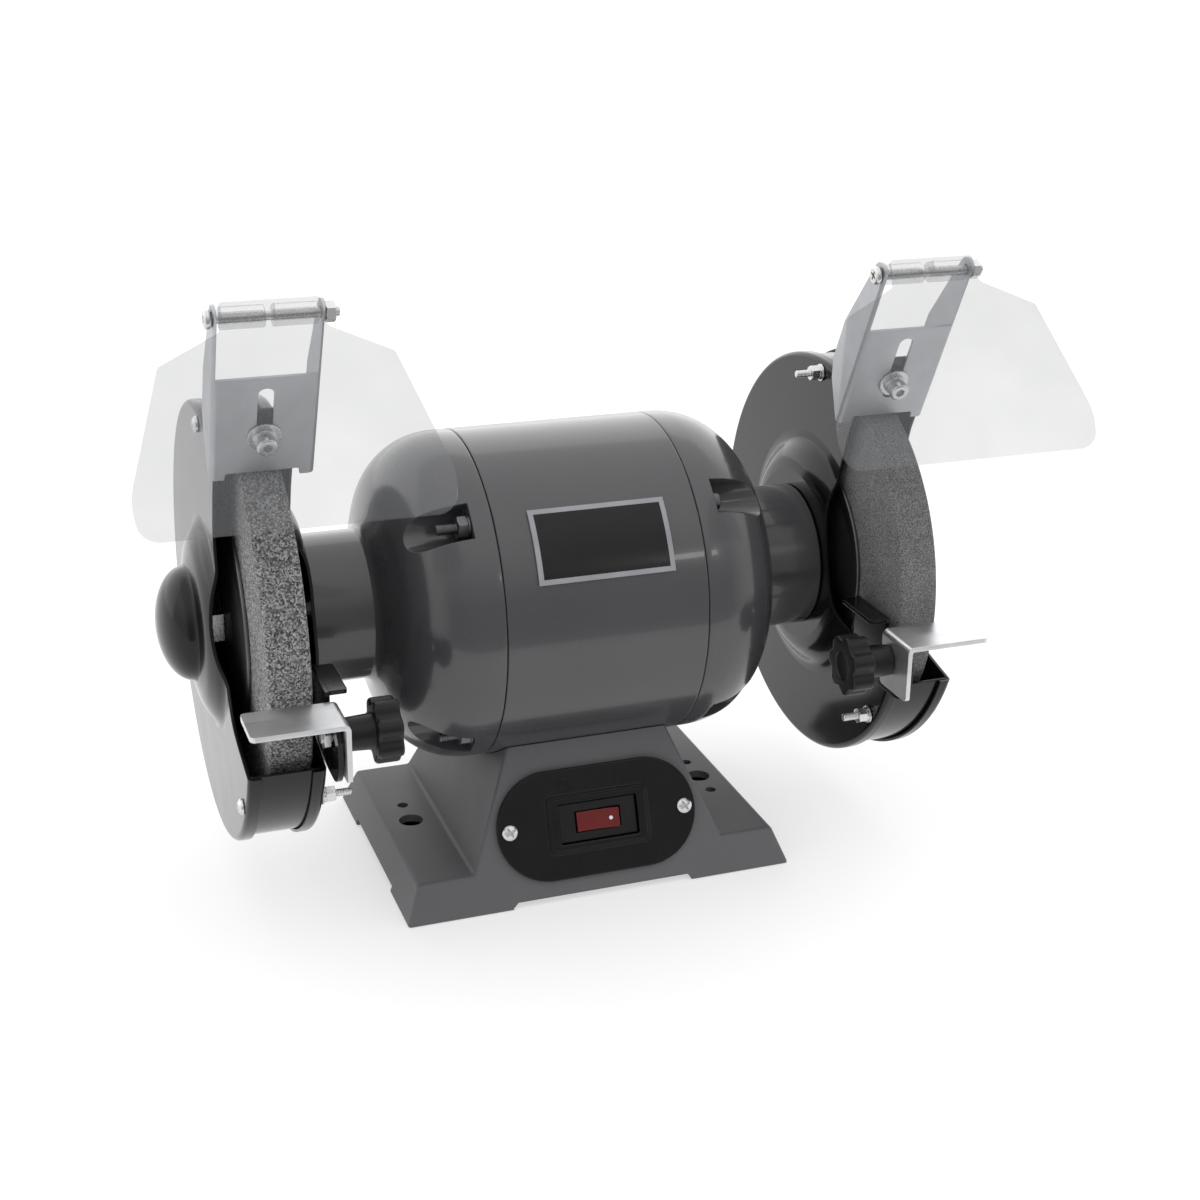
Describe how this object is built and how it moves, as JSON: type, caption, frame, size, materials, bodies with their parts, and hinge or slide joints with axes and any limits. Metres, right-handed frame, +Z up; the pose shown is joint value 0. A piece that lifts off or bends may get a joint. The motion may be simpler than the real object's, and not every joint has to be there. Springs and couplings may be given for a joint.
{
  "type": "bench grinder",
  "caption": "Double-ended bench grinder: grey motor, guarded grinding wheels, hinged clear eye shields, sliding tool rests and a rocker switch in the base.",
  "frame": {"origin": "centre of the object's footprint box, on the bench surface", "axes": "+X along the shaft towards the fine wheel, -Y towards the operator and the switch, +Z up"},
  "size_m": [0.4546, 0.2534, 0.3221],
  "materials": {
    "grey_paint": "smooth mid-grey gloss enamel",
    "cast_paint": "die-cast shell in the same mid-grey gloss enamel",
    "black_gloss": "gloss black enamel",
    "zinc": "bright zinc plating",
    "steel": "machined steel",
    "winding": "varnished laminations and copper",
    "coarse_grit": "coarse bonded abrasive",
    "fine_grit": "fine bonded abrasive",
    "clear_plastic": "clear, see-through",
    "black_plastic": "moulded black, satin",
    "gloss_black_plastic": "moulded black, glossy",
    "red_plastic": "tinted red, see-through",
    "capacitor_can": "drawn can"
  },
  "bodies": {
    "housing": {"base": "grey_paint", "base_plate": "steel", "capacitor": "capacitor_can", "cable_gland": "black_plastic", "switch_plate": "gloss_black_plastic", "switch_housing": "black_plastic", "plate_screw_left": "zinc", "plate_screw_right": "zinc", "motor_barrel": "cast_paint", "stator": "winding", "through_bolt_front_upper": "zinc", "through_bolt_rear_upper": "zinc", "through_bolt_rear_lower": "zinc", "through_bolt_front_lower": "zinc", "nameplate": "gloss_black_plastic", "end_bell_left": "cast_paint", "end_bell_right": "cast_paint", "bearing_left": "steel", "bearing_right": "steel", "inner_guard_left": "black_gloss", "inner_guard_right": "black_gloss", "guard_band_left": "black_gloss", "guard_band_right": "black_gloss", "outer_cover_left": "black_gloss", "outer_cover_right": "black_gloss", "rest_arm_left": "black_gloss", "rest_arm_right": "black_gloss", "bracket_bolt_left": "zinc", "bracket_bolt_right": "zinc", "guard_screw_left_upper": "zinc", "guard_screw_left_lower": "zinc", "guard_screw_left_rear": "zinc", "guard_screw_right_upper": "zinc", "guard_screw_right_lower": "zinc", "guard_screw_right_rear": "zinc"},
    "spindle": {"rotor": "steel", "shaft": "steel", "wheel_left": "coarse_grit", "wheel_right": "fine_grit", "inner_flange_left": "steel", "inner_flange_right": "steel", "outer_flange_left": "steel", "outer_flange_right": "steel", "arbor_nut_left": "zinc", "arbor_nut_right": "zinc"},
    "rocker": {"switch_rocker": "red_plastic"},
    "bracket_left": {"shield_bracket_left": "zinc", "hinge_bolt_left": "zinc"},
    "eye_shield_left": {"shield_left": "clear_plastic"},
    "rest_left": {"tool_rest_left": "zinc", "rest_stud_left": "zinc"},
    "rest_knob_left": {"knob_left": "black_plastic"},
    "bracket_right": {"shield_bracket_right": "zinc", "hinge_bolt_right": "zinc"},
    "eye_shield_right": {"shield_right": "clear_plastic"},
    "rest_right": {"tool_rest_right": "zinc", "rest_stud_right": "zinc"},
    "rest_knob_right": {"knob_right": "black_plastic"}
  },
  "joints": [
    {"name": "spindle_spin", "type": "hinge", "parent": "housing", "child": "spindle", "pos_m": [0, 0.01772, 0.1433], "axis": [1, 0, 0], "continuous": true},
    {"name": "rocker_tip", "type": "hinge", "parent": "housing", "child": "rocker", "pos_m": [0, -0.04914, 0.03706], "axis": [0, 0.3633, 0.9317], "range_deg": [0, 14]},
    {"name": "bracket_slide_left", "type": "slide", "parent": "housing", "child": "bracket_left", "axis": [0, -0.4384, 0.8988], "range_m": [-0.0015, 0.006]},
    {"name": "shield_tilt_left", "type": "hinge", "parent": "bracket_left", "child": "eye_shield_left", "pos_m": [-0.1588, -0.06535, 0.31362], "axis": [-1, 0, 0], "range_deg": [-25, 85]},
    {"name": "rest_slide_left", "type": "slide", "parent": "housing", "child": "rest_left", "axis": [0, -1, 0], "range_m": [-0.0015, 0.006]},
    {"name": "knob_turn_left", "type": "hinge", "parent": "rest_left", "child": "rest_knob_left", "pos_m": [-0.1255, -0.09128, 0.124], "axis": [1, 0, 0], "range_deg": [0, 300]},
    {"name": "bracket_slide_right", "type": "slide", "parent": "housing", "child": "bracket_right", "axis": [0, -0.4384, 0.8988], "range_m": [-0.0015, 0.006]},
    {"name": "shield_tilt_right", "type": "hinge", "parent": "bracket_right", "child": "eye_shield_right", "pos_m": [0.1588, -0.06535, 0.31362], "axis": [-1, 0, 0], "range_deg": [-25, 85]},
    {"name": "rest_slide_right", "type": "slide", "parent": "housing", "child": "rest_right", "axis": [0, -1, 0], "range_m": [-0.0015, 0.006]},
    {"name": "knob_turn_right", "type": "hinge", "parent": "rest_right", "child": "rest_knob_right", "pos_m": [0.1255, -0.09128, 0.124], "axis": [-1, 0, 0], "range_deg": [0, 300]}
  ]
}
